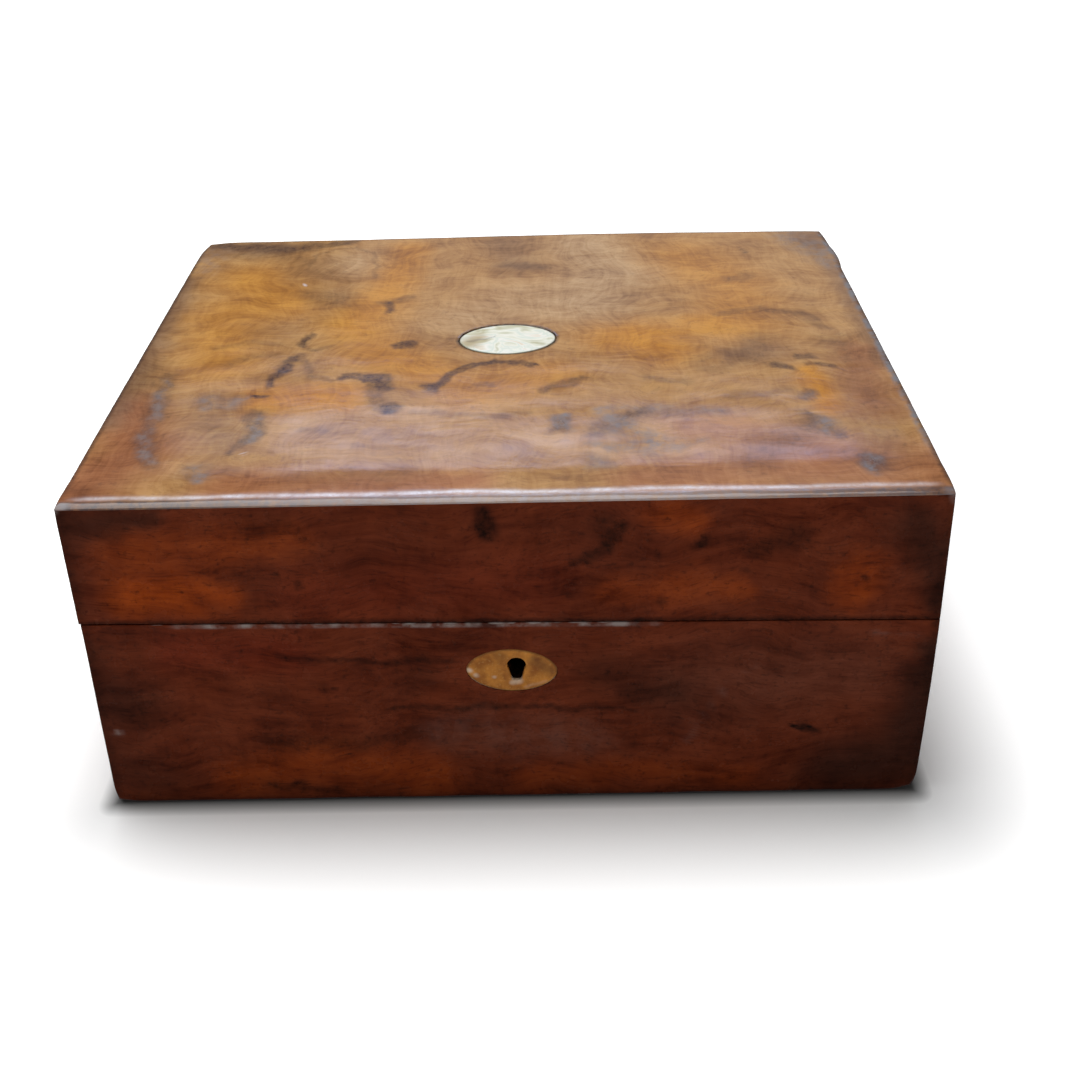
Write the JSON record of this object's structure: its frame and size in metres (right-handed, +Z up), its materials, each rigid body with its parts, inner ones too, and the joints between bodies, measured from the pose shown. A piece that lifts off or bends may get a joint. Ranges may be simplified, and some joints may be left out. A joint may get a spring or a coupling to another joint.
{
  "type": "inlaid box",
  "caption": "Rectangular polished walnut table box with a loose lid, a mother-of-pearl oval let into the lid and a pointed oval brass escutcheon round a keyhole in the front.",
  "frame": {"origin": "middle of the underside, on the surface that the box stands on", "axes": "+X to the right of someone facing the keyhole, +Y towards the back, +Z up"},
  "size_m": [0.254, 0.203, 0.111],
  "materials": {
    "figured_wood": "old French polish over figured golden walnut, stained and hazy",
    "case_wood": "old French polish over dark red-brown walnut",
    "bottom_wood": "bare, dry and brown",
    "mother_of_pearl": "polished shell",
    "escutcheon_brass": "dull and tarnished"
  },
  "bodies": {
    "root": {"base_front_board": "case_wood", "base_back_board": "case_wood", "base_left_board": "case_wood", "base_right_board": "case_wood", "base_bottom_board": "bottom_wood", "keyhole_escutcheon": "escutcheon_brass", "lid_front_board": "case_wood", "lid_back_board": "case_wood", "lid_left_board": "case_wood", "lid_right_board": "case_wood", "lid_top_board": "figured_wood", "pearl_oval": "mother_of_pearl"}
  },
  "joints": []
}
